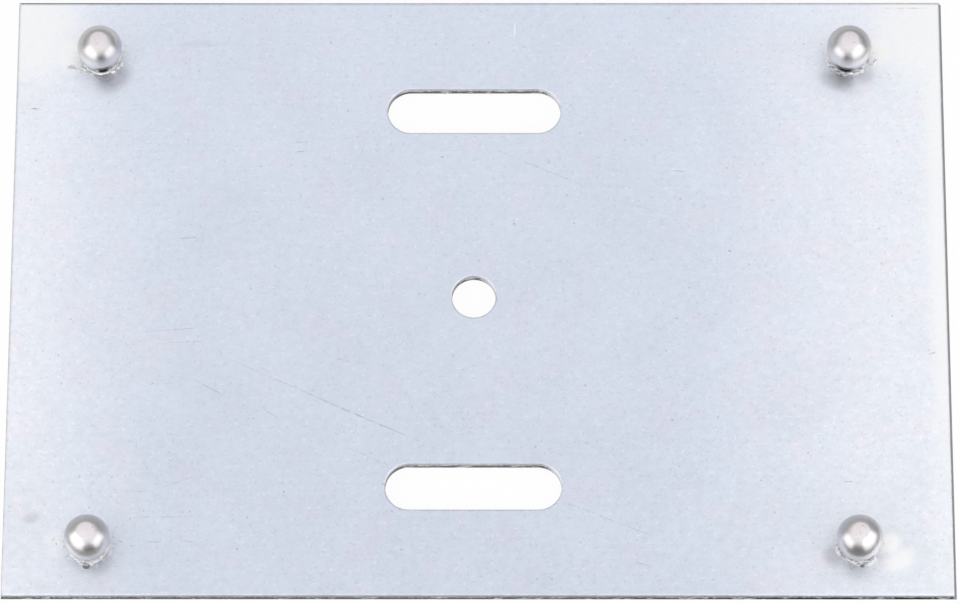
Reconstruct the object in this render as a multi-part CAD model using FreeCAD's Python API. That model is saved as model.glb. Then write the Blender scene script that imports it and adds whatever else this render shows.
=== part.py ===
import FreeCAD, Part
import math
import os

# Mounting plate of galvanised sheet steel with four steel balls welded on near its corners.
# Sizes are in millimetres. The origin is on the axis of the centre hole, in the plane of the
# back face. +X runs along the long side, +Y along the short side, +Z out of the front face.

# Sheared blank
plate_length = 140.0
plate_width = 95.0
plate_thickness = 1.5
blank_shift_x = 0.8         # from the hole's axis to the middle of the blank
blank_shift_y = 0.5
back_break = 0.12           # break of the back edges under their zinc
torn_share = 0.6            # share of each wall, from the back face up, that tore in the shear

# How the shear left each side: width and depth of the roll on the front edge, and how far the
# torn part of the wall leans out
shear_marks = {
    "left": (0.5, 0.3, 0.08),
    "right": (0.35, 0.25, 0.35),
    "front": (0.4, 0.3, 0.05),
    "back": (0.5, 0.35, 0.08),
}

# Punched slots and hole
slot_length = 26.0
slot_width = 7.0
slot_spacing = 60.0         # between the middles of the two slots
hole_diameter = 6.5         # clears an M6 screw
punched_roll = 0.3          # width of the roll that the punch leaves on the front edges
punched_roll_depth = 0.3

# Balls, set in from the ends of a blank that is centred on the hole
ball_diameter = 6.75
ball_inset_x = 13.5
ball_inset_y = 8.5
ball_sink = 0.15            # depth of the ball that melted away at the weld
ball_flat_diameter = 2.4    # flat that the welding electrode pressed into the top

# Weld metal squeezed out round each ball
collar_inset = 0.4          # the collar's edge stays this far inside the ball's outline
collar_height = 0.55        # how far up the ball the metal reaches
collar_overlap = 0.1        # how far the raw ring reaches into the ball before it is cut back
collar_oval = 0.04          # share by which the collar is longer one way than the other
collar_ripple = 0.03        # share by which its edge ripples
collar_ripples = 3
collar_turn = 75.0          # degrees by which each collar is turned against the last
collar_points = 8           # points of its uneven outline

# Lumps of weld metal at each collar
lump_sides = 7
lump_top_share = 0.5        # size of a lump's top against its foot
lump_unevenness = 0.15      # share by which a lump is wider one way than the other

# Direction of each lump in degrees from +X, its distance outside the collar's edge, its radius
# on the plate and its height
weld_lumps = {
    "back_left": [(206, 0.1, 0.8, 0.22)],
    "back_right": [(300, 0.05, 0.65, 0.35)],
    "front_left": [(266, 0.05, 0.75, 0.7)],
    "front_right": [(204, 0.1, 0.5, 0.4), (308, 0.1, 0.65, 0.5)],
}

front_face = plate_thickness
ball_radius = ball_diameter / 2
ball_height = front_face - ball_sink + ball_radius
collar_reach = ball_radius - collar_inset


def vector(x, y, z):
    return FreeCAD.Vector(x, y, z)


def line(start, end):
    return Part.LineSegment(start, end).toShape()


def rolled_edge(foot, width, depth):
    """Curve of a front edge that was drawn down beside a cut, from its foot up to the face.

    Sections are drawn with their width along X and their thickness along Y. A negative width
    rolls towards -X.
    """
    square_corner = vector(foot, front_face, 0)
    curve = Part.BezierCurve()
    curve.setPoles([vector(foot, front_face - depth, 0), square_corner,
                    vector(foot + width, front_face, 0)])
    curve.setWeight(2, math.sqrt(0.5))
    return curve.toShape()


def sheared_side(outer, inward, marks):
    """Edges of one side of the sheet's section, from the back face up to the front face."""
    roll_width, roll_depth, lean = marks
    wall = outer + inward * lean
    corners = [
        vector(outer + inward * back_break, 0, 0),
        vector(outer, back_break, 0),
        vector(wall, plate_thickness * torn_share, 0),
        vector(wall, front_face - roll_depth, 0),
    ]
    edges = [line(a, b) for a, b in zip(corners, corners[1:])]
    return edges + [rolled_edge(wall, inward * roll_width, roll_depth)]


def sheet_section(middle, width, low_side, high_side):
    """Face of the sheet cut across between two opposite sheared sides."""
    low = sheared_side(middle - width / 2, 1, shear_marks[low_side])
    high = sheared_side(middle + width / 2, -1, shear_marks[high_side])
    back = line(low[0].Vertexes[0].Point, high[0].Vertexes[0].Point)
    front = line(low[-1].Vertexes[-1].Point, high[-1].Vertexes[-1].Point)
    return Part.Face(Part.Wire(Part.sortEdges(low + high + [back, front])[0]))


def sheared_blank():
    """Sheet cut to size by two pairs of shear cuts at right angles."""
    along = sheet_section(blank_shift_x, plate_length, "left", "right")
    along.rotate(vector(0, 0, 0), vector(1, 0, 0), 90)
    along.translate(vector(0, blank_shift_y + plate_width, 0))
    across = sheet_section(blank_shift_y, plate_width, "front", "back")
    across.rotate(vector(0, 0, 0), vector(1, 1, 1), 120)
    across.translate(vector(blank_shift_x - plate_length, 0, 0))
    long_strip = along.extrude(vector(0, -2 * plate_width, 0))
    cross_strip = across.extrude(vector(2 * plate_length, 0, 0))
    return long_strip.common(cross_strip)


def half_punch(radius):
    """Half section of a punch, from its axis out, with the roll that it leaves round its cut."""
    top = front_face + punched_roll_depth
    edge = radius + punched_roll
    outline = [
        line(vector(0, 0, 0), vector(radius, 0, 0)),
        line(vector(radius, 0, 0), vector(radius, front_face - punched_roll_depth, 0)),
        rolled_edge(radius, punched_roll, punched_roll_depth),
        line(vector(edge, front_face, 0), vector(edge, top, 0)),
        line(vector(edge, top, 0), vector(0, top, 0)),
        line(vector(0, top, 0), vector(0, 0, 0)),
    ]
    section = Part.Face(Part.Wire(outline))
    section.rotate(vector(0, 0, 0), vector(1, 0, 0), 90)
    return section


def round_punch(radius):
    return half_punch(radius).revolve(vector(0, 0, 0), vector(0, 0, 1), 360)


def slot_punch(middle_y):
    """Punch with two straight sides and two half-round ends."""
    end_radius = slot_width / 2
    end_x = slot_length / 2 - end_radius
    section = half_punch(end_radius)
    section.rotate(vector(0, 0, 0), vector(0, 0, 1), 90)
    section.translate(vector(-end_x, 0, 0))
    half = section.extrude(vector(2 * end_x, 0, 0))
    section.translate(vector(2 * end_x, 0, 0))
    half = half.fuse(section.revolve(vector(end_x, 0, 0), vector(0, 0, 1), -180))
    other_half = half.copy()
    other_half.rotate(vector(0, 0, 0), vector(0, 0, 1), 180)
    punch = half.fuse(other_half).removeSplitter()
    punch.translate(vector(0, middle_y, 0))
    return punch


def punched_plate():
    """The blank with its two slots and its centre hole punched through."""
    plate = sheared_blank()
    for side in (1, -1):
        plate = plate.cut(slot_punch(side * slot_spacing / 2))
    return plate.cut(round_punch(hole_diameter / 2))


def ball(x, y):
    """Steel ball with a melted foot on the plate and a pressed flat on top."""
    flat_height = math.sqrt(ball_radius ** 2 - (ball_flat_diameter / 2) ** 2)
    standing_height = ball_height + flat_height - front_face
    corner = vector(x - ball_radius, y - ball_radius, front_face)
    between = Part.makeBox(ball_diameter, ball_diameter, standing_height, corner)
    return Part.makeSphere(ball_radius, vector(x, y, ball_height)).common(between)


def uneven_ring(x, y, height, reach, turn):
    """Closed smooth outline round a ball, a little oval and rippled."""
    points = []
    for step in range(collar_points):
        angle = 2 * math.pi * step / collar_points
        oval = collar_oval * math.cos(2 * angle + turn)
        ripple = collar_ripple * math.cos(collar_ripples * angle + turn)
        radius = reach * (1 + oval + ripple)
        points.append(vector(x + radius * math.cos(angle), y + radius * math.sin(angle), height))
    curve = Part.BSplineCurve()
    curve.interpolate(points, PeriodicFlag=True)
    return Part.Wire([curve.toShape()])


def lump_outline(middle, radius):
    """Uneven outline with straight sides, level with its middle."""
    corners = []
    for step in range(lump_sides):
        angle = 2 * math.pi * step / lump_sides
        reach = radius * (1 + lump_unevenness * math.cos(2 * angle))
        corners.append(middle + vector(reach * math.cos(angle), reach * math.sin(angle), 0))
    return Part.makePolygon(corners + corners[:1])


def weld_lump(x, y, direction, outside, radius, height):
    """Lump of weld metal that has run out onto the plate."""
    angle = math.radians(direction)
    distance = collar_reach + outside
    foot = vector(x + distance * math.cos(angle), y + distance * math.sin(angle), front_face)
    top = foot + vector(0, 0, height)
    outlines = [lump_outline(foot, radius), lump_outline(top, radius * lump_top_share)]
    return Part.makeLoft(outlines, True, True)


def weld_collar(x, y, lumps, turn):
    """Uneven ring of squeezed-out metal, seated on the ball and on the plate."""
    top_reach = math.sqrt(ball_radius ** 2 - (ball_height - front_face - collar_height) ** 2)
    edge = uneven_ring(x, y, front_face, collar_reach, turn)
    top = uneven_ring(x, y, front_face + collar_height, top_reach - collar_overlap, turn)
    collar = Part.makeLoft([edge, top], True, True)
    for lump in lumps:
        collar = collar.fuse(weld_lump(x, y, *lump))
    return collar.cut(Part.makeSphere(ball_radius, vector(x, y, ball_height)))


def build():
    """All pieces by name: the plate, each ball, and the metal of the four welds together."""
    nodes = {"plate": punched_plate()}
    collars = []
    for row, side_y in (("back", 1), ("front", -1)):
        for column, side_x in (("left", -1), ("right", 1)):
            corner = row + "_" + column
            x = side_x * (plate_length / 2 - ball_inset_x)
            y = side_y * (plate_width / 2 - ball_inset_y)
            turn = math.radians(collar_turn * len(collars))
            nodes["ball_" + corner] = ball(x, y)
            collars.append(weld_collar(x, y, weld_lumps[corner], turn))
    nodes["weld_metal"] = Part.makeCompound(collars)
    return nodes


os.makedirs("parts", exist_ok=True)
for name, shape in build().items():
    shape.exportStep("parts/" + name + ".step")
    print(name, round(shape.Volume, 3), len(shape.Solids), shape.isValid())
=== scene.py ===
import math
import bmesh
import bpy
from mathutils import Matrix, Vector


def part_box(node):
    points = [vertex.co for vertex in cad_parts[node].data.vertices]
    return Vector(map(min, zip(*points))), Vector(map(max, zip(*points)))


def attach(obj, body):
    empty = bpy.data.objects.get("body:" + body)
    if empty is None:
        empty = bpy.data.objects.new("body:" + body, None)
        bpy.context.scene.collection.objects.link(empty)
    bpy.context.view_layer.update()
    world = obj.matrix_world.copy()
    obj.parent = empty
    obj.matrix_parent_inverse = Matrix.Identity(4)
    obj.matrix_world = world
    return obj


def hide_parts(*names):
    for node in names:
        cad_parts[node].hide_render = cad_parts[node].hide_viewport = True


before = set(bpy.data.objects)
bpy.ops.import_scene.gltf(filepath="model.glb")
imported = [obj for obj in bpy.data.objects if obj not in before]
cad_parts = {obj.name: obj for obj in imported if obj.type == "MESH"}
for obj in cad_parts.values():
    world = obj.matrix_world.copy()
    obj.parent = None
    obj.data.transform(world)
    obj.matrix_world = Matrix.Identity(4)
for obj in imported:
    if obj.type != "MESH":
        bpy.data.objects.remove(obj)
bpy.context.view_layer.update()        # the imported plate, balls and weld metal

mm = 0.001
plateLow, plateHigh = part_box("plate")
frontFace = plateHigh.z
corners = ["back_left", "back_right", "front_left", "front_right"]
ballLow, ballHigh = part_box("ball_" + corners[0])


def boxMiddle(node):
    low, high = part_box(node)
    return (low + high) / 2


ballPlaces = {corner: boxMiddle("ball_" + corner) for corner in corners}


# Camera, as the photograph was taken: a long lens, a little in front of straight above

cameraSetup = {
    "lens": 230.5,                      # mm
    "sensorWidth": 36,                  # mm
    "nearest": 10 * mm,                 # what is nearer to the camera isn't shown
    "aim": (0.84 * mm, -0.28 * mm, 0),
    "distance": 0.916,
    "tilt": 21.14,                      # degrees away from straight above
    "swing": 0.89,                      # degrees round the upright axis
    "roll": -0.83,                      # degrees round the line of sight
}


def addCamera(setup):
    cameraData = bpy.data.cameras.new("camera")
    cameraData.lens = setup["lens"]
    cameraData.sensor_width = setup["sensorWidth"]
    cameraData.clip_start = setup["nearest"]
    camera = bpy.data.objects.new("camera", cameraData)
    bpy.context.scene.collection.objects.link(camera)
    turn = (Matrix.Rotation(math.radians(setup["swing"]), 4, "Z")
            @ Matrix.Rotation(math.radians(setup["tilt"]), 4, "X")
            @ Matrix.Rotation(math.radians(setup["roll"]), 4, "Z"))
    camera.matrix_world = (Matrix.Translation(setup["aim"]) @ turn
                           @ Matrix.Translation((0, 0, setup["distance"])))
    bpy.context.scene.camera = camera
    print("camera set")


# Small helpers for node trees. In the dictionaries below, a pattern is a noise's scale per mm, its
# detail and its roughness. A fade is where a change begins and ends, with the values that it has
# there where they aren't 0 and 1.

def newMaterial(name):
    material = bpy.data.materials.new(name)
    material.use_nodes = True
    material.node_tree.nodes.clear()
    return material, material.node_tree


def connect(tree, socket, value):
    if isinstance(value, bpy.types.NodeSocket):
        tree.links.new(value, socket)
    else:
        socket.default_value = value


def addNode(tree, kind, inputs=None, **settings):
    made = tree.nodes.new(kind)
    for key, value in settings.items():
        setattr(made, key, value)
    for key, value in (inputs or {}).items():
        connect(tree, made.inputs[key], value)
    return made


def calc(tree, operation, *values):
    return addNode(tree, "ShaderNodeMath", dict(enumerate(values)),
                   operation=operation).outputs[0]


def added(tree, first, *others):
    for other in others:
        first = calc(tree, "ADD", first, other)
    return first


def times(tree, first, *others):
    for other in others:
        first = calc(tree, "MULTIPLY", first, other)
    return first


def centred(tree, value, strength):
    # A noise's value between 0 and 1 becomes one to both sides of 0
    return times(tree, calc(tree, "SUBTRACT", value, 0.5), strength)


def vectorCalc(tree, operation, *vectors):
    made = addNode(tree, "ShaderNodeVectorMath", dict(enumerate(vectors)), operation=operation)
    return made.outputs["Value" if operation == "LENGTH" else "Vector"]


def flattened(tree, vector):
    return vectorCalc(tree, "MULTIPLY", vector, (1, 1, 0))


def axes(tree, vector):
    return addNode(tree, "ShaderNodeSeparateXYZ", {0: vector}).outputs


def ramp(tree, value, low, high, toLow=0.0, toHigh=1.0):
    return addNode(tree, "ShaderNodeMapRange",
                   {"Value": value, "From Min": low, "From Max": high,
                    "To Min": toLow, "To Max": toHigh},
                   interpolation_type="SMOOTHSTEP").outputs["Result"]


def blend(tree, share, first, second):
    return addNode(tree, "ShaderNodeMapRange",
                   {"Value": share, "To Min": first, "To Max": second}).outputs["Result"]


def mixColours(tree, share, first, second, way="MIX"):
    made = addNode(tree, "ShaderNodeMix", {0: share}, data_type="RGBA", blend_type=way)
    for key, colour in ((6, first), (7, second)):
        connect(tree, made.inputs[key], (*colour, 1) if isinstance(colour, tuple) else colour)
    return made.outputs[2]


def greyColour(tree, value):
    return addNode(tree, "ShaderNodeCombineColor",
                   {0: value, 1: value, 2: value}).outputs[0]


def toned(tree, colour, tone):
    return mixColours(tree, 1.0, colour, greyColour(tree, tone), "MULTIPLY")


def noise(tree, place, pattern):
    scale, detail, roughness = pattern
    return addNode(tree, "ShaderNodeTexNoise",
                   {"Vector": place, "Scale": scale, "Detail": detail,
                    "Roughness": roughness}).outputs["Fac"]


def millimetres(tree, stretch=(1, 1, 1)):
    # Object coordinates turned into millimetres, with an optional stretch of a pattern
    place = addNode(tree, "ShaderNodeTexCoord").outputs["Object"]
    scale = tuple(1 / (mm * s) for s in stretch)
    return addNode(tree, "ShaderNodeMapping", {"Vector": place, "Scale": scale}).outputs[0]


def attributeValue(tree, name):
    return addNode(tree, "ShaderNodeAttribute", attribute_name=name).outputs["Fac"]


def metalOutput(tree, colour, roughness, height, look):
    grazing = look["grazing"]
    bump = addNode(tree, "ShaderNodeBump", {"Height": height, "Distance": look["relief"]})
    shader = addNode(tree, "ShaderNodeBsdfPrincipled",
                     {"Base Color": colour, "Roughness": roughness,
                      "Normal": bump.outputs[0], "Metallic": look["metallic"],
                      "Specular Tint": (grazing, grazing, grazing, 1)})
    addNode(tree, "ShaderNodeOutputMaterial", {"Surface": shader.outputs[0]})


# Galvanised sheet

zincLook = {
    "colour": (0.705, 0.76, 0.868),
    "litEndColour": (0.89, 0.92, 0.985),
    "leftLitEnd": (-40, -77),               # painted light: fades towards the short ends, paler where the side lamps light them, mm
    "rightLitEnd": (22, 75),
    "backPale": 0.0008,                   # how much paler it gets towards the back, per mm
    "pinkTint": (1.028, 0.988, 0.988),    # some patches are a little pink
    "pinkPattern": (0.2, 3, 0.6),
    "pinkFade": (0.48, 0.66),
    "metallic": 1.0,
    "grazing": 0.4,                       # brightness when it is seen along its surface
    "roughness": 0.5,
    "roughnessSpread": 0.3,
    "relief": 0.04 * mm,                  # height of its unevenness, and what takes part in it
    "mottleRelief": 0.7,
    "grainRelief": 0.5,
    # the zinc's cloudy grain: strength and pattern
    "cloud": 0.12,
    "cloudPattern": (0.07, 3, 0.6),
    "mottle": 0.27,
    "mottlePattern": (0.8, 4, 0.58),
    "grain": 0.15,
    "grainPattern": (2.6, 3, 0.6),
    # short strokes: stretch of the pattern, spacing, length and width in mm, share of the places
    # that have one, brightness
    "strokes": [
        ((1, 1, 1), 1.1, 0.75, 0.30, 0.55, -0.09),
        ((1.3, 0.9, 1), 1.2, 0.75, 0.32, 0.50, 0.08),
        ((1, 1, 1), 5.0, 0.50, 0.34, 0.40, -0.22),
    ],
    "weakestStroke": 0.3,                 # against the strongest
    "strokeFade": (0.4, 1.1, 1, 0),       # 0 in the middle of a stroke, 1 at its outline
    # scratches: middle x and y, length, width in mm, turn in degrees, strength
    "scratches": [
        (-66.5, 30.4, 2.2, 0.22, -2, 0.75),
        (-43.0, 9.4, 4.6, 0.16, 5, 0.55),
        (-26.0, 24.9, 2.3, 0.18, 0, 0.35),
        (-25.9, 23.4, 2.4, 0.18, 6, 0.45),
        (10.4, 20.5, 20.0, 0.16, -24, 0.28),
        (25.8, 14.2, 9.0, 0.14, -17, 0.22),
        (21.3, 20.4, 5.5, 0.18, -21, 0.26),
        (31.0, 20.2, 2.3, 0.20, -8, 0.35),
        (44.3, 15.5, 1.9, 0.22, 0, 0.28),
        (-44.7, -5.3, 10.2, 0.15, 5, 0.42),
        (-42.5, -7.2, 5.4, 0.14, 3, 0.42),
        (-19.8, -17.5, 41.0, 0.17, -24.6, 0.36),
        (-17.4, -18.7, 14.4, 0.18, -24, 0.40),
        (-39.3, -14.4, 6.4, 0.18, -30, 0.34),
        (-30.2, -18.4, 4.6, 0.18, -36, 0.32),
        (-15.5, -25.3, 7.8, 0.16, -25, 0.24),
        (19.8, -35.0, 16.6, 0.17, -22, 0.34),
        (24.8, -42.0, 2.6, 0.20, -14, 0.42),
        (-50.5, -30.8, 6.0, 0.15, 3, 0.35),
        (-43.9, -29.4, 7.8, 0.16, 20, 0.28),
        (-44.5, -34.7, 13.7, 0.14, 1, 0.30),
        (-46.9, -38.6, 2.5, 0.18, 0, 0.40),
        (-41.8, -38.5, 2.6, 0.16, -12, 0.30),
        (-19.4, -10.1, 2.8, 0.20, -13, 0.30),
        (55.2, -29.2, 1.7, 0.20, 0, 0.55),
        (68.1, -9.0, 1.2, 0.28, 17, 0.60),
        (65.7, 46.9, 8.8, 0.20, 0, 0.30),
    ],
    "scratchColour": (0.20, 0.21, 0.25),
    "scratchFade": (0.5, 1.2),            # 0 in the middle of a mark, 1 at its outline
    "brokenPattern": (1.1, 3, 0.7),       # scratches are broken up
    "brokenFade": (0.38, 0.62, 0.1, 0.95),
    # rubbed bright, given as the scratches are
    "brightMarks": [
        (65.0, 47.45, 10.0, 0.5, 0, 0.9),
        (6.1, 43.4, 2.9, 0.45, 87, 0.5),
    ],
    "brightFade": (0.5, 1.1),
    # dirt and pits, given as the scratches are
    "stains": [
        (-65.0, -34.9, 3.4, 2.4, 10, 0.30),
        (-41.0, 41.0, 10.0, 1.6, 0, 0.10),
        (38.2, 7.3, 0.6, 0.45, 0, 0.75),
        (-4.8, 22.5, 0.7, 0.4, 0, 0.55),
        (-29.7, 4.9, 0.4, 0.35, 0, 0.6),
        (6.0, 11.7, 0.5, 0.5, 0, 0.5),
        (-27.9, -30.8, 0.45, 0.45, 0, 0.8),
        (30.9, 15.7, 0.35, 0.35, 0, 0.75),
        (42.4, -29.0, 0.45, 0.35, 0, 0.7),
        (30.4, -26.8, 0.35, 0.35, 0, 0.7),
    ],
    "stainColour": (0.30, 0.31, 0.34),
    "stainFade": (0.3, 1.0),
    "stainPatches": (0.3, 0.6, 0.5, 1),
    # painted light round each ball, a pale glow and a grey shadow: x and y from a ball's axis,
    # length, width, turn, strength
    "glowSpots": {
        "back_left": [(-4.9, 0.3, 6.5, 9.0, 0, 1.0), (-10.5, 4.0, 21.0, 24.0, 0, 0.9)],
        "back_right": [(5.0, 0.9, 6.0, 8.5, 0, 1.0), (10.5, 4.0, 20.0, 22.0, 0, 0.8)],
        "front_left": [(-4.9, 0.2, 4.8, 6.0, 0, 0.5)],
        "front_right": [(4.7, 0.1, 4.8, 5.4, 0, 1.0), (5.9, -2.4, 8.0, 5.0, 30, 0.85)],
    },
    # painted shadow beside each ball, given as the glow is
    "shadowSpots": {
        "back_left": [(2.2, -3.8, 8.0, 5.2, 40, 0.55)],
        "back_right": [(-1.8, -4.1, 7.5, 4.2, -20, 0.6), (2.6, -3.4, 4.0, 3.4, 30, 0.35)],
        "front_left": [(2.2, -3.4, 5.5, 3.6, 40, 0.28)],
        "front_right": [(-4.0, -1.8, 3.4, 4.6, 20, 0.45), (0.0, -4.6, 6.0, 3.0, 0, 0.2)],
    },
    "glowAndShadowFade": (0.25, 1.0),
    "glowAndShadowPatches": (0.3, 0.62, 0.65, 1),
    "brightColour": (0.995, 0.995, 0.998),
    "dullColour": (0.42, 0.42, 0.46),
    # metal splashed round each ball, and dark flecks among it, mm from the ball's axis
    "splashReach": (3.1, 3.6, 0.7, 0),
    "splashPattern": (1.0, 3, 0.65),
    "splashUneven": 3.6,
    "fleckReach": (2.95, 4.95, 0.5, 0),
    "fleckPattern": (1.7, 2, 0.6),
    "fleckFade": (0.60, 0.68),
    # painted light: a bright band along the right edge; fade in mm across, and its strength from
    # front to back
    "rightBand": (66.5, 69.5, 0, 0.7),
    "rightBandAlong": (-38, 0, 0.25, 1),
    # fades by how squarely a surface faces one side, from -1 to 1
    "marked": (0.05, 0.3),                # marks show only on what faces the front
    "rolledEdgeHighlight": (0.93, 0.99, 0.6, 0),   # painted highlight on the rolled edges, the near ones less so
    "rolledHighlightBack": (-0.7, -0.2),
    "rolledHighlightPatches": (0.35, 0.6, 0.4, 1),
    "backEdgeShade": (0.15, 0.4),              # painted dark reflection: the edge along the back is dark towards its left end
    "backEdgeShadeAcross": (-66, -20, 0.9, 0),
    "wall": (0.42, 0.6, 1, 0),            # a wall faces neither the front nor the back
    # walls: the shear and the punch burnish their front part and tear the rest
    "burnishedWall": (0.58, 0.585, 0.60),
    "tornWallAndEdgeShade": (0.20, 0.20, 0.21),
    "tornRight": (0.05, 0.05, 0.055),     # the sheet tore worse towards the right
    "tornRightAcross": (5, 60),
    "tornShare": 0.6,                     # of a wall's height, from the back face up
    "tornSoftness": 0.15,                 # mm
    "streakStretch": (0.5, 0.5, 2.5),     # torn streaks, and how far they reach up and across, mm
    "streakPattern": (1.6, 4, 0.7),
    "streakUp": 1.6,
    "streakAcross": 60,
    "flakeColour": (0.85, 0.86, 0.88),
    "flakeStretch": (2.4, 2.4, 0.8),
    "flakePattern": (1.3, 3, 0.7),
    "flakeFade": (0.55, 0.62, 0, 0.75),
    "rightShadedWall": (0.48, 0.48, 0.50),      # painted shade: walls that face right are an even mid grey, darker than the walls that face left
    "rightShadedWallFacing": (0.5, 0.9, 0, 0.85),
    "leftLitWall": (0.93, 0.935, 0.95),     # painted light: walls that face left are pale, lit by the lamp on the left
    "leftLitWallFacing": (-0.2, -0.8, 0, 0.9),
}


def marksMask(tree, place, marks, fade):
    # The strongest of many marks at each place. Each is a lens with 0 in its middle and 1 at its
    # outline, so tall that a place's height makes no difference.
    lensHeight = 2000
    strongest = 0.0
    for x, y, length, width, turn, strength in marks:
        lens = addNode(tree, "ShaderNodeMapping",
                       {"Vector": place, "Location": (x, y, 0),
                        "Rotation": (0, 0, math.radians(turn)),
                        "Scale": (length / 2, width / 2, lensHeight / 2)},
                       vector_type="TEXTURE")
        distance = vectorCalc(tree, "LENGTH", lens.outputs[0])
        strongest = calc(tree, "MAXIMUM", strongest, ramp(tree, distance, *fade, strength, 0))
    return strongest


# A mask of painted light and shade spots placed round the balls
def paintedSpotsMask(tree, place, spotTable, fade):
    marks = []
    for corner, spots in spotTable.items():
        middle = ballPlaces[corner] / mm
        marks += [(middle.x + x, middle.y + y, *rest) for x, y, *rest in spots]
    return marksMask(tree, place, marks, fade)


def ballDistance(tree, place):
    # mm from the axis of the nearest ball, which stand mirrored about a middle
    places = [ballPlaces[corner] / mm for corner in corners]
    middle = sum(places, Vector()) / len(places)
    spread = places[1] - middle
    mirrored = vectorCalc(tree, "ABSOLUTE", vectorCalc(tree, "SUBTRACT", place, middle))
    offset = vectorCalc(tree, "SUBTRACT", mirrored, (spread.x, spread.y, 0))
    return vectorCalc(tree, "LENGTH", flattened(tree, offset))


def strokesMask(tree, stretch, spacing, length, width, share, look):
    # Short strokes that point every way, one in each cell of a grid of scattered points
    place = millimetres(tree, stretch)
    cells = addNode(tree, "ShaderNodeTexVoronoi", {"Vector": place, "Scale": 1 / spacing},
                    voronoi_dimensions="2D")
    turnChance, placeChance, strengthChance = addNode(
        tree, "ShaderNodeSeparateColor", {0: cells.outputs["Color"]}).outputs
    offset = flattened(tree, vectorCalc(tree, "SUBTRACT", place, cells.outputs["Position"]))
    turned = addNode(tree, "ShaderNodeVectorRotate",
                     {"Vector": offset, "Angle": times(tree, turnChance, math.tau)},
                     rotation_type="Z_AXIS").outputs[0]
    lens = vectorCalc(tree, "MULTIPLY", turned, (2 / length, 2 / width, 0))
    chosen = calc(tree, "LESS_THAN", placeChance, share)
    strength = times(tree, chosen, ramp(tree, strengthChance, 0, 1, look["weakestStroke"], 1))
    return times(tree, strength, ramp(tree, vectorCalc(tree, "LENGTH", lens), *look["strokeFade"]))


def sheetColour(tree, place, mottle, grain, look):
    # Cloudy zinc with short strokes in it, and painted light that pales its short ends
    cloud = noise(tree, place, look["cloudPattern"])
    tone = added(tree, centred(tree, cloud, look["cloud"]), centred(tree, mottle, look["mottle"]),
                 centred(tree, grain, look["grain"]))
    for *stroke, brightness in look["strokes"]:
        tone = added(tree, tone, times(tree, strokesMask(tree, *stroke, look), brightness))
    across, along, _ = axes(tree, place)
    tone = added(tree, tone, 1.0, times(tree, along, look["backPale"]))
    # painted light: the short ends are paler, as the side lamps light them
    litEnds = calc(tree, "MAXIMUM", ramp(tree, across, *look["leftLitEnd"]),
                ramp(tree, across, *look["rightLitEnd"]))
    colour = mixColours(tree, litEnds, look["colour"], look["litEndColour"])
    pink = mixColours(tree, 1.0, colour, look["pinkTint"], "MULTIPLY")
    patches = ramp(tree, noise(tree, place, look["pinkPattern"]), *look["pinkFade"])
    return toned(tree, mixColours(tree, patches, colour, pink), tone)


def glowShadowAndSplashColour(tree, place, mottle, colour, look):
    # Painted glow and painted shadow round the balls, splashed metal, and the painted light of the
    # bright band along the right edge
    across, along, _ = axes(tree, place)
    patches = ramp(tree, mottle, *look["glowAndShadowPatches"])
    # painted light: a pale glow of lamp light thrown off each ball onto the plate
    glow = times(tree, paintedSpotsMask(tree, place, look["glowSpots"], look["glowAndShadowFade"]), patches)
    # painted shadow: the soft grey shade that each ball casts beside it
    shadow = times(tree, paintedSpotsMask(tree, place, look["shadowSpots"], look["glowAndShadowFade"]), patches)
    # painted light: the bright band along the right edge
    band = times(tree, ramp(tree, across, *look["rightBand"]),
                 ramp(tree, along, *look["rightBandAlong"]))
    colour = mixColours(tree, calc(tree, "MAXIMUM", glow, band), colour, look["brightColour"])
    colour = mixColours(tree, shadow, colour, look["dullColour"])
    away = ballDistance(tree, place)
    uneven = centred(tree, noise(tree, place, look["splashPattern"]), look["splashUneven"])
    splash = ramp(tree, added(tree, away, uneven), *look["splashReach"])
    colour = mixColours(tree, splash, colour, look["brightColour"])
    flecks = times(tree, ramp(tree, noise(tree, place, look["fleckPattern"]), *look["fleckFade"]),
                   ramp(tree, away, *look["fleckReach"]))
    return mixColours(tree, flecks, colour, look["dullColour"])


def wornColour(tree, place, grain, colour, look):
    stains = times(tree, marksMask(tree, place, look["stains"], look["stainFade"]),
                   ramp(tree, grain, *look["stainPatches"]))
    colour = mixColours(tree, stains, colour, look["stainColour"])
    broken = ramp(tree, noise(tree, place, look["brokenPattern"]), *look["brokenFade"])
    scratches = marksMask(tree, place, look["scratches"], look["scratchFade"])
    colour = mixColours(tree, times(tree, scratches, broken), colour, look["scratchColour"])
    bright = marksMask(tree, place, look["brightMarks"], look["brightFade"])
    return mixColours(tree, bright, colour, look["brightColour"])


def wallColour(tree, place, facingRight, look):
    across, _, height = axes(tree, place)
    streaks = noise(tree, millimetres(tree, look["streakStretch"]), look["streakPattern"])
    ragged = added(tree, height, centred(tree, streaks, look["streakUp"]))
    tornTop = look["tornShare"] * frontFace / mm
    torn = ramp(tree, ragged, tornTop - look["tornSoftness"], tornTop + look["tornSoftness"], 1, 0)
    worse = ramp(tree, added(tree, across, centred(tree, streaks, look["streakAcross"])),
                 *look["tornRightAcross"])
    tornColour = mixColours(tree, worse, look["tornWallAndEdgeShade"], look["tornRight"])
    colour = mixColours(tree, torn, look["burnishedWall"], tornColour)
    flakes = noise(tree, millimetres(tree, look["flakeStretch"]), look["flakePattern"])
    colour = mixColours(tree, ramp(tree, flakes, *look["flakeFade"]), colour, look["flakeColour"])
    # painted light and shade on the walls by the way they face: darker facing right, pale facing
    # left
    colour = mixColours(tree, ramp(tree, facingRight, *look["rightShadedWallFacing"]), colour,
                        look["rightShadedWall"])
    return mixColours(tree, ramp(tree, facingRight, *look["leftLitWallFacing"]), colour,
                      look["leftLitWall"])


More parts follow.
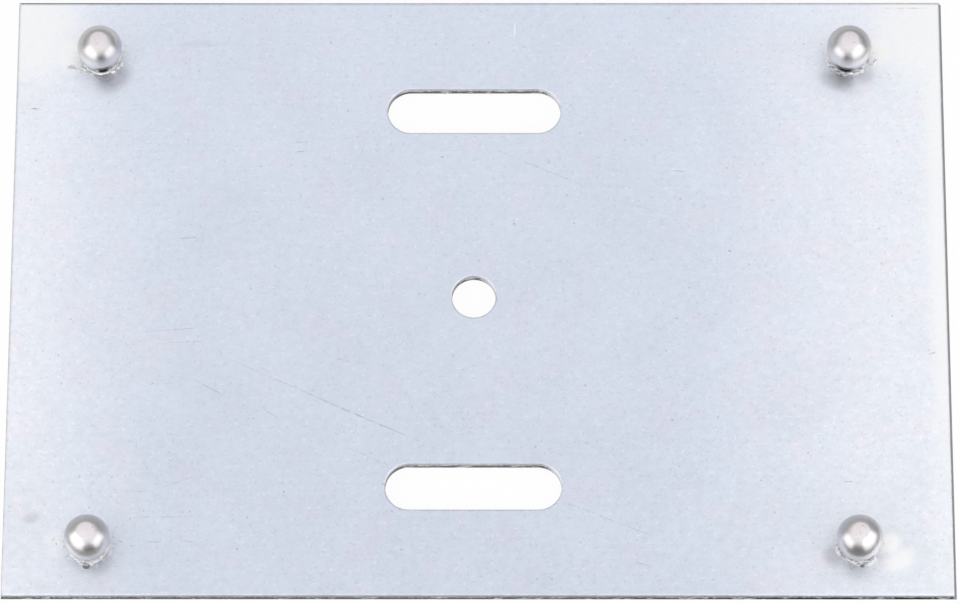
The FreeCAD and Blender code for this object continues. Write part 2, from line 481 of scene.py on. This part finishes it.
def edgedColour(tree, place, mottle, plain, marked, look):
    # The marked front face, the plain back face, the rolled edges with their painted highlight, the
    # back edge's painted dark reflection, and the walls with painted light and shade by the way they
    # face
    normal = addNode(tree, "ShaderNodeNewGeometry").outputs["True Normal"]
    facingRight, facingBack, facingFront = axes(tree, normal)
    front = ramp(tree, facingFront, *look["marked"])
    colour = mixColours(tree, front, plain, marked)
    # painted highlight: the rolled edges are brightened where they catch the lamps
    rolledHighlight = times(tree, ramp(tree, facingFront, *look["rolledEdgeHighlight"]),
                   ramp(tree, facingBack, *look["rolledHighlightBack"]),
                   ramp(tree, mottle, *look["rolledHighlightPatches"]), front)
    colour = mixColours(tree, rolledHighlight, colour, look["brightColour"])
    # painted dark reflection on the back edge, in the torn wall's colour
    backEdgeShade = times(tree, ramp(tree, facingBack, *look["backEdgeShade"]),
                     ramp(tree, axes(tree, place)[0], *look["backEdgeShadeAcross"]))
    colour = mixColours(tree, backEdgeShade, colour, look["tornWallAndEdgeShade"])
    wall = ramp(tree, calc(tree, "ABSOLUTE", facingFront), *look["wall"])
    return mixColours(tree, wall, colour, wallColour(tree, place, facingRight, look))


def zincMaterial(look):
    material, tree = newMaterial("galvanisedZinc")
    place = millimetres(tree)
    mottle = noise(tree, place, look["mottlePattern"])
    grain = noise(tree, place, look["grainPattern"])
    plain = sheetColour(tree, place, mottle, grain, look)
    marked = glowShadowAndSplashColour(tree, place, mottle, plain, look)
    marked = wornColour(tree, place, grain, marked, look)
    colour = edgedColour(tree, place, mottle, plain, marked, look)
    roughness = added(tree, centred(tree, mottle, look["roughnessSpread"]), look["roughness"])
    height = added(tree, times(tree, mottle, look["mottleRelief"]),
                   times(tree, grain, look["grainRelief"]))
    metalOutput(tree, colour, roughness, height, look)
    return material


def dressPlate(material):
    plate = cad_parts["plate"]
    plate.data.materials.clear()
    plate.data.materials.append(material)
    print("plate dressed")


# Ball steel

ballLook = {
    "colour": (0.80, 0.782, 0.788),
    "tone": 0.12,                       # how much lighter and darker its streaks are
    "streakPattern": (1.2, 3, 0.6),
    "finePattern": (7.0, 2, 0.6),
    "flatColour": (0.86, 0.815, 0.845),
    "flatHeight": (-0.08, -0.02),       # fade from the ball to its flat, mm above the ball's top
    "footShadeColour": (0.40, 0.39, 0.41),   # painted shade: the lower part is darker, as the dark gap and plate that it reflects
    "footHeight": (3.1, 4.7, 0.9, 0),   # mm above the back face, streaks not counted
    "footStreak": 0.5,                  # mm
    "speckColour": (0.16, 0.15, 0.16),  # specks on the lip round the flat
    "speckPattern": (3.2, 2, 0.6),
    "speckFade": (0.62, 0.74, 0, 0.6),
    "sootAndShadeColour": (0.04, 0.04, 0.042),
    "metallic": 1.0,
    "grazing": 0.88,
    "roughness": 0.33,
    "roughnessSpread": 0.12,
    "flatRoughness": 0.25,              # more than the ball's
    "relief": 0.006 * mm,
    "streakRelief": 1.5,
}


def ballMaterial(look):
    material, tree = newMaterial("ballSteel")
    place = millimetres(tree)
    height = axes(tree, place)[2]
    streak = noise(tree, place, look["streakPattern"])
    fine = noise(tree, place, look["finePattern"])
    colour = toned(tree, look["colour"], added(tree, centred(tree, streak, look["tone"]), 1.0))
    # painted shade: the ball's lower part is darkened
    foot = added(tree, height, times(tree, streak, look["footStreak"]))
    colour = mixColours(tree, ramp(tree, foot, *look["footHeight"]), colour, look["footShadeColour"])
    flat = ramp(tree, height, *[ballHigh.z / mm + offset for offset in look["flatHeight"]])
    colour = mixColours(tree, flat, colour, look["flatColour"])
    specks = ramp(tree, noise(tree, place, look["speckPattern"]), *look["speckFade"])
    specks = times(tree, attributeValue(tree, "lip"), specks)
    colour = mixColours(tree, specks, colour, look["speckColour"])
    # painted shade: the ball's underside darkened where it meets the gap under the two back balls
    colour = mixColours(tree, attributeValue(tree, "sootAndShade"), colour, look["sootAndShadeColour"])
    roughness = added(tree, times(tree, flat, look["flatRoughness"]),
                      centred(tree, streak, look["roughnessSpread"]), look["roughness"])
    relief = added(tree, fine, times(tree, streak, look["streakRelief"]))
    metalOutput(tree, colour, roughness, relief, look)
    return material


# Weld metal

weldLook = {
    "colour": (0.80, 0.81, 0.84),
    "tone": 1.5,                        # how much lighter and darker its blotches are
    "blotchPattern": (1.6, 3, 0.6),
    "finePattern": (6.0, 3, 0.6),
    "sootAndShadeColour": (0.03, 0.03, 0.033),
    "metallic": 0.4,
    "grazing": 1.0,
    "roughness": 0.6,
    "roughnessSpread": 0.3,
    "relief": 0.08 * mm,
}


def weldMaterial(look):
    material, tree = newMaterial("weldMetal")
    place = millimetres(tree)
    blotch = noise(tree, place, look["blotchPattern"])
    fine = noise(tree, place, look["finePattern"])
    colour = toned(tree, look["colour"], added(tree, centred(tree, blotch, look["tone"]), 1.0))
    # painted shade in the gap under the two back balls, and darker lumps
    colour = mixColours(tree, attributeValue(tree, "sootAndShade"), colour, look["sootAndShadeColour"])
    roughness = added(tree, centred(tree, fine, look["roughnessSpread"]), look["roughness"])
    metalOutput(tree, colour, roughness, fine, look)
    return material


# Helpers for modelling by hand

def startFresh():
    # Nothing stays selected, so an operator acts only on what comes next
    if bpy.context.object and bpy.context.object.mode != "OBJECT":
        bpy.ops.object.mode_set(mode="OBJECT")
    bpy.ops.object.select_all(action="DESELECT")


def placeInMesh(piece):
    # The object goes back to the origin, unturned, and its place goes into its mesh
    startFresh()
    piece.select_set(True)
    bpy.context.view_layer.objects.active = piece
    bpy.ops.object.transform_apply(location=True, rotation=True, scale=True)


def cutLevel(height, gap, **side):
    # In edit mode, cuts the mesh level, drops the side that is named and closes the cut
    bpy.ops.mesh.select_all(action="SELECT")
    bpy.ops.mesh.bisect(plane_co=(0, 0, height), plane_no=(0, 0, 1), use_fill=True,
                        threshold=gap, **side)


def pickFacesAbove(piece, height):
    mesh = bmesh.from_edit_mesh(piece.data)
    for face in mesh.faces:
        face.select_set(face.calc_center_median().z > height)
    bmesh.update_edit_mesh(piece.data)


def setAmounts(piece, name, amounts):
    attribute = piece.data.attributes.new(name, "FLOAT", "POINT")
    attribute.data.foreach_set("value", amounts)


def shareBetween(value, none, full):
    # 0 at none, 1 at full, and kept between them
    return max(0.0, min(1.0, (value - none) / (full - none)))


def addDressed(piece, material, slotName, *replaced):
    piece.data.materials.clear()
    piece.data.materials.append(material)
    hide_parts(*replaced)
    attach(piece, "root")


# Painted shade in the gap that the weld left under the two back balls

gapShadeShape = {
    "arcs": {"back_left": (280, 25), "back_right": (258, 31)},  # direction, half width in degrees
    "feather": 14,               # degrees over which an arc fades out at each end
    "onBall": (4.95, 4.35),      # where it begins and is full, mm above the back face
    "onRing": (2.85, 2.65),      # and mm from the ball's axis
}


def arcShare(away, corner):
    # 1 towards the middle of the corner's shaded arc, 0 outside it
    middle, halfWidth = gapShadeShape["arcs"].get(corner, (0, 0))
    direction = math.degrees(math.atan2(away.y, away.x))
    off = abs((direction - middle + 180) % 360 - 180)
    return shareBetween(off, halfWidth, halfWidth - gapShadeShape["feather"])


def markBallShade(ball, corner):
    amounts = []
    for vertex in ball.data.vertices:
        low = shareBetween(vertex.co.z / mm, *gapShadeShape["onBall"])
        amounts.append(low * arcShare(vertex.co - ballPlaces[corner], corner))
    setAmounts(ball, "sootAndShade", amounts)


def markRingShade(ring, axis, corner):
    amounts = []
    for vertex in ring.data.vertices:
        away = (vertex.co - axis).to_2d()
        inside = shareBetween(away.length / mm, *gapShadeShape["onRing"])
        amounts.append(inside * arcShare(away, corner))
    setAmounts(ring, "sootAndShade", amounts)


# Balls, modelled once and copied

ballShape = {
    "segments": 96,
    "rings": 64,
    "flatRadius": 1.2 * mm,      # of the flat that the welding electrode left on top
    "flatUneven": 0.07 * mm,     # how far its outline wanders
    "flatUniform": 0.3,          # how alike the steps of that outline are
    "flatSeed": 4,
    "flatLip": 0.12 * mm,        # width of the raised lip round the flat
    "flatDish": 0.03 * mm,       # how far the flat lies below that lip
    "lipReach": 0.20 * mm,       # the metal is rough this far to both sides of the outline
    "turns": (0, 70, 160, 235),  # degrees by which each ball is turned
    "smoothAngle": 30,           # degrees; sharper edges stay sharp
    "cutGap": 1e-7,              # what is nearer to a cut than this counts as on it
}


def markLip(ball, shape):
    amounts = []
    for vertex in ball.data.vertices:
        away = (vertex.co - ballPlaces[corners[0]]).to_2d().length - shape["flatRadius"]
        near = shareBetween(abs(away), shape["lipReach"], 0)
        amounts.append(near if vertex.co.z > ballHigh.z - shape["lipReach"] else 0.0)
    setAmounts(ball, "lip", amounts)


def modelBall(shape):
    middle = ballPlaces[corners[0]]
    radius = (ballHigh.x - ballLow.x) / 2
    centreZ = ballHigh.z - math.sqrt(radius ** 2 - shape["flatRadius"] ** 2)
    startFresh()
    bpy.ops.mesh.primitive_uv_sphere_add(segments=shape["segments"], ring_count=shape["rings"],
                                         radius=radius, location=(middle.x, middle.y, centreZ))
    ball = bpy.context.object
    ball.name = "modelled_ball"
    bpy.ops.object.mode_set(mode="EDIT")
    cutLevel(ballHigh.z, shape["cutGap"], clear_outer=True)
    cutLevel(ballLow.z, shape["cutGap"], clear_inner=True)
    # the flat's outline wanders, is pressed level again, and keeps a lip
    pickFacesAbove(ball, ballHigh.z - shape["cutGap"])
    bpy.ops.transform.vertex_random(offset=shape["flatUneven"], uniform=shape["flatUniform"],
                                    seed=shape["flatSeed"])
    bpy.ops.transform.resize(value=(1, 1, 0), center_override=(0, 0, ballHigh.z))
    bpy.ops.mesh.inset(thickness=shape["flatLip"], depth=-shape["flatDish"])
    bpy.ops.object.mode_set(mode="OBJECT")
    bpy.ops.object.shade_smooth_by_angle(angle=math.radians(shape["smoothAngle"]))
    placeInMesh(ball)
    markLip(ball, shape)
    return ball


def addBalls(shape, material):
    model = modelBall(shape)
    start = ballPlaces[corners[0]]
    for turn, corner in zip(shape["turns"], corners):
        ball = model.copy()
        ball.data = model.data.copy()
        ball.name = "ball_" + corner + "_steel"
        bpy.context.scene.collection.objects.link(ball)
        middle = ballPlaces[corner]
        ball.data.transform(Matrix.Translation((middle.x, middle.y, 0))
                            @ Matrix.Rotation(math.radians(turn), 4, "Z")
                            @ Matrix.Translation((-start.x, -start.y, 0)))
        markBallShade(ball, corner)
        addDressed(ball, material, "ball_steel", "ball_" + corner)
    bpy.data.objects.remove(model)
    print("balls made")


# Weld metal: a low ring with a raised lip round each ball, and the lumps thrown out beside it

weldShape = {
    "segments": 96,
    # outline of the ring: distance from the ball's axis and height above the plate, mm
    "ringOutline": [(3.04, -0.03), (2.98, 0.05), (2.88, 0.12), (2.76, 0.16), (2.62, 0.17),
                    (2.45, 0.15), (2.25, 0.16), (1.98, 0.26), (1.75, 0.44), (1.45, 0.60)],
    "ringRoughness": 0.36 * mm,
    "ringGrain": 0.38 * mm,
    "lumpDetail": 4,               # subdivisions of a lump
    "lumpRoughness": 0.40,         # share of a lump's own size
    "lumpGrain": 0.30 * mm,
    "grainDepth": 2,               # layers of ever finer grain
    "sunk": 0.03 * mm,             # depth that a lump reaches into the plate
    "smoothAngle": 60,             # degrees; sharper edges stay sharp
    "cutGap": 1e-8,                # what is nearer to a cut than this counts as on it
    # lumps: x and y from the ball's axis, length, width and height in mm, turn in degrees, darkness
    "lumps": {
        "back_left": [
            (-3.9, -2.1, 2.4, 0.6, 0.05, -12, 0.06), (-4.5, -1.7, 1.1, 0.5, 0.05, 15, 0.06),
            (3.0, -1.3, 0.9, 0.6, 0.30, 60, 0.0), (2.6, -1.9, 0.7, 0.5, 0.25, 40, 0.0),
            (-2.9, -1.4, 0.9, 0.5, 0.25, 60, 0.0), (-2.4, -2.1, 0.7, 0.4, 0.2, -45, 0.0),
            (-3.05, -0.4, 0.7, 0.4, 0.18, 85, 0.1), (1.9, -2.5, 0.8, 0.45, 0.2, 35, 0.0),
            (-1.6, -2.75, 0.9, 0.4, 0.14, -25, 0.1),
        ],
        "back_right": [
            (-3.0, -0.4, 0.9, 0.5, 0.32, 80, 0.0), (-2.9, -1.3, 0.8, 0.5, 0.25, 60, 0.1),
            (-2.4, -2.0, 0.9, 0.5, 0.25, -50, 0.3), (-1.5, -2.7, 0.9, 0.5, 0.22, -20, 0.4),
            (-0.5, -3.05, 0.8, 0.4, 0.18, 5, 0.3), (1.1, -2.85, 1.0, 0.6, 0.35, 10, 0.0),
            (1.9, -2.4, 1.0, 0.7, 0.42, 50, 0.0), (4.1, -0.9, 0.8, 0.5, 0.30, 60, 0.0),
            (3.7, -1.5, 0.5, 0.35, 0.15, 0, 0.0), (3.1, -0.8, 0.7, 0.4, 0.25, 70, 0.0),
        ],
        "front_left": [
            (-0.3, -3.0, 1.0, 0.8, 0.17, 0, 0.4), (-0.35, -3.4, 0.7, 0.8, 0.06, 0, 0.72),
            (-0.05, -3.4, 0.7, 0.8, 0.07, 0, 0.72), (-0.9, -2.95, 0.7, 0.5, 0.25, 0, 0.1),
            (0.6, -2.95, 0.7, 0.5, 0.22, 0, 0.1), (-5.2, 0.7, 0.6, 0.2, 0.05, 40, 0.1),
            (-4.7, 0.1, 0.5, 0.2, 0.05, 100, 0.1), (4.7, 0.5, 0.7, 0.16, 0.04, -25, 0.3),
        ],
        "front_right": [
            (-3.1, 0.5, 1.0, 0.6, 0.40, 75, 0.0), (-3.0, -0.5, 0.9, 0.6, 0.36, 80, 0.0),
            (-2.8, -1.3, 1.0, 0.7, 0.34, -60, 0.0), (-2.2, -2.0, 0.8, 0.5, 0.25, -45, 0.1),
            (-0.4, -2.8, 0.9, 0.6, 0.28, 0, 0.1), (0.5, -3.35, 0.65, 0.4, 0.18, 10, 0.8),
            (0.0, -3.1, 0.9, 0.5, 0.25, 20, 0.25), (0.9, -3.0, 0.8, 0.5, 0.3, 15, 0.3),
            (1.9, -2.4, 1.4, 1.0, 0.5, 40, 0.0), (1.5, -2.95, 1.0, 0.6, 0.30, 20, 0.0),
        ],
    },
}


def roughen(piece, texture, strength):
    modifier = piece.modifiers.new("roughness", "DISPLACE")
    modifier.texture = texture
    modifier.strength = strength
    modifier.texture_coords = "GLOBAL"
    bpy.context.view_layer.objects.active = piece
    bpy.ops.object.modifier_apply(modifier=modifier.name)


def grainTexture(name, size, depth):
    texture = bpy.data.textures.new(name, "CLOUDS")
    texture.noise_scale = size
    texture.noise_depth = depth
    return texture


def modelRing(corner, axis, shape, texture):
    # A circle drawn out ring by ring, as on a lathe
    outline = shape["ringOutline"]
    startFresh()
    bpy.ops.mesh.primitive_circle_add(vertices=shape["segments"], radius=outline[0][0] * mm,
                                      fill_type="NGON",
                                      location=axis + Vector((0, 0, outline[0][1] * mm)))
    ring = bpy.context.object
    ring.name = "weld_" + corner
    bpy.ops.object.mode_set(mode="EDIT")
    bpy.ops.mesh.select_all(action="SELECT")
    for (oldReach, oldHeight), (reach, height) in zip(outline, outline[1:]):
        bpy.ops.mesh.extrude_region_move(
            TRANSFORM_OT_translate={"value": (0, 0, (height - oldHeight) * mm)})
        share = reach / oldReach
        bpy.ops.transform.resize(value=(share, share, 1), center_override=axis)
    bpy.ops.mesh.select_all(action="SELECT")
    bpy.ops.mesh.normals_make_consistent(inside=False)
    bpy.ops.object.mode_set(mode="OBJECT")
    placeInMesh(ring)
    roughen(ring, texture, shape["ringRoughness"])
    markRingShade(ring, axis, corner)
    return ring


def modelLump(axis, lump, shape, texture):
    # A ball of 1 mm stretched to the lump's size, roughened, and cut off just under the plate's face
    x, y, length, width, height, turn, sootAndShade = lump
    startFresh()
    bpy.ops.mesh.primitive_ico_sphere_add(subdivisions=shape["lumpDetail"], radius=mm / 2,
                                          location=axis + Vector((x, y, 0)) * mm)
    piece = bpy.context.object
    piece.scale = (length, width, 2 * height)
    piece.rotation_euler = (0, 0, math.radians(turn))
    placeInMesh(piece)
    roughen(piece, texture, shape["lumpRoughness"] * min(width, height) * mm)
    bpy.ops.object.mode_set(mode="EDIT")
    cutLevel(frontFace - shape["sunk"], shape["cutGap"], clear_inner=True)
    bpy.ops.object.mode_set(mode="OBJECT")
    setAmounts(piece, "sootAndShade", [sootAndShade] * len(piece.data.vertices))
    return piece


def addWelds(shape, material):
    ringTexture = grainTexture("ringGrain", shape["ringGrain"], shape["grainDepth"])
    lumpTexture = grainTexture("lumpGrain", shape["lumpGrain"], shape["grainDepth"])
    for corner in corners:
        axis = Vector((*ballPlaces[corner].to_2d(), frontFace))
        ring = modelRing(corner, axis, shape, ringTexture)
        lumps = [modelLump(axis, lump, shape, lumpTexture) for lump in shape["lumps"][corner]]
        startFresh()
        for part in [ring] + lumps:
            part.select_set(True)
        bpy.context.view_layer.objects.active = ring
        bpy.ops.object.join()
        bpy.ops.object.shade_smooth_by_angle(angle=math.radians(shape["smoothAngle"]))
        addDressed(ring, material, "weld_metal", "weld_metal")
    print("welds made")


# Floor, lamps and world. Polished metal sees a darker horizon, as inside a small photo tent.

studioSetup = {
    "floorDrop": 0.1 * mm,       # below the back face
    "floorSize": 4.0,            # metres
    "floorColour": (0.9, 0.9, 0.9, 1),
    "floorWhite": 0.93,          # share of plain white that the floor shows the camera
    "floorTone": 1.9,            # how much brighter than the horizon it is in polished metal
    "floorRim": (0.4, 3.0),      # but plain white near the plate: fade in mm outside it
    "white": (1, 1, 1, 1),
    "worldLight": 0.9,
    "lampPower": 0.345,          # watts
    "lampSize": (0.36, 0.26),    # metres, as their places are; both lamps look at the origin
    "lampPlaces": [(-0.225, -0.145, 0.075), (0.225, -0.13, 0.080)],
    "horizonTone": 0.22,         # brightness near the horizon,
    "horizonLeft": 0.05,         # how much brighter it is to the left
    "horizonBack": 0.14,         # and at the back
    "darkest": 0.05,
    "horizonTop": (0.25, 0.85),  # sine of the elevation where white begins, and where it is plain
}


def whiteForCamera(tree):
    # 1 for the rays that see a background: from the camera, in metal and through glass
    rays = addNode(tree, "ShaderNodeLightPath")
    seen = calc(tree, "MAXIMUM", rays.outputs["Is Camera Ray"], rays.outputs["Is Glossy Ray"])
    return calc(tree, "MAXIMUM", seen, rays.outputs["Is Transmission Ray"])


def horizonTone(tree, direction, setup):
    # Brighter to the left and at the back, darker to the right and in front
    right, back, _ = axes(tree, vectorCalc(tree, "NORMALIZE", flattened(tree, direction)))
    tone = added(tree, setup["horizonTone"], times(tree, right, -setup["horizonLeft"]),
                 times(tree, back, setup["horizonBack"]))
    return calc(tree, "MAXIMUM", tone, setup["darkest"])


def addWorld(setup):
    world = bpy.data.worlds.new("studioWorld")
    bpy.context.scene.world = world
    world.use_nodes = True
    tree = world.node_tree
    tree.nodes.clear()
    direction = addNode(tree, "ShaderNodeTexCoord").outputs["Generated"]
    climb = ramp(tree, axes(tree, direction)[2], *setup["horizonTop"])
    inMetal = blend(tree, climb, horizonTone(tree, direction, setup), 1.0)
    elsewhere = blend(tree, whiteForCamera(tree), setup["worldLight"], 1.0)
    glossy = addNode(tree, "ShaderNodeLightPath").outputs["Is Glossy Ray"]
    background = addNode(tree, "ShaderNodeBackground",
                         {"Color": setup["white"],
                          "Strength": blend(tree, glossy, elsewhere, inMetal)})
    addNode(tree, "ShaderNodeOutputWorld", {"Surface": background.outputs[0]})


def outsidePlate(tree):
    # mm outside the plate's outline, below 0 inside it
    place = axes(tree, millimetres(tree))
    gaps = []
    for axis in (0, 1):
        middle = (plateLow[axis] + plateHigh[axis]) / 2 / mm
        halfSize = (plateHigh[axis] - plateLow[axis]) / 2 / mm
        fromMiddle = calc(tree, "ABSOLUTE", calc(tree, "SUBTRACT", place[axis], middle))
        gaps.append(calc(tree, "SUBTRACT", fromMiddle, halfSize))
    return calc(tree, "MAXIMUM", *gaps)


def addFloor(setup):
    material, tree = newMaterial("paleFloor")
    matte = addNode(tree, "ShaderNodeBsdfDiffuse", {"Color": setup["floorColour"]})
    direction = addNode(tree, "ShaderNodeTexCoord").outputs["Object"]
    glossy = addNode(tree, "ShaderNodeLightPath").outputs["Is Glossy Ray"]
    dimmed = times(tree, ramp(tree, outsidePlate(tree), *setup["floorRim"]), glossy)
    floorTone = times(tree, horizonTone(tree, direction, setup), setup["floorTone"])
    white = addNode(tree, "ShaderNodeEmission",
                    {"Color": setup["white"], "Strength": blend(tree, dimmed, 1.0, floorTone)})
    share = times(tree, whiteForCamera(tree), setup["floorWhite"])
    both = addNode(tree, "ShaderNodeMixShader",
                   {0: share, 1: matte.outputs[0], 2: white.outputs[0]})
    addNode(tree, "ShaderNodeOutputMaterial", {"Surface": both.outputs[0]})
    startFresh()
    bpy.ops.mesh.primitive_plane_add(size=setup["floorSize"],
                                     location=(0, 0, -setup["floorDrop"]))
    floor = bpy.context.object
    floor.name = "floor"
    floor.data.materials.append(material)
    print("world and floor set")


def addLamps(setup):
    for number, place in enumerate(setup["lampPlaces"]):
        lampData = bpy.data.lights.new("softLamp%d" % number, "AREA")
        lampData.shape = "RECTANGLE"
        lampData.size, lampData.size_y = setup["lampSize"]
        lampData.energy = setup["lampPower"]
        lamp = bpy.data.objects.new(lampData.name, lampData)
        bpy.context.scene.collection.objects.link(lamp)
        lamp.location = place
        lamp.rotation_euler = (-Vector(place)).to_track_quat("-Z", "Y").to_euler()
        lamp.visible_camera = False
    print("lamps set")


addCamera(cameraSetup)
addWorld(studioSetup)
addFloor(studioSetup)
addLamps(studioSetup)
dressPlate(zincMaterial(zincLook))
addBalls(ballShape, ballMaterial(ballLook))
addWelds(weldShape, weldMaterial(weldLook))

bpy.context.scene.view_settings.view_transform = "Standard"
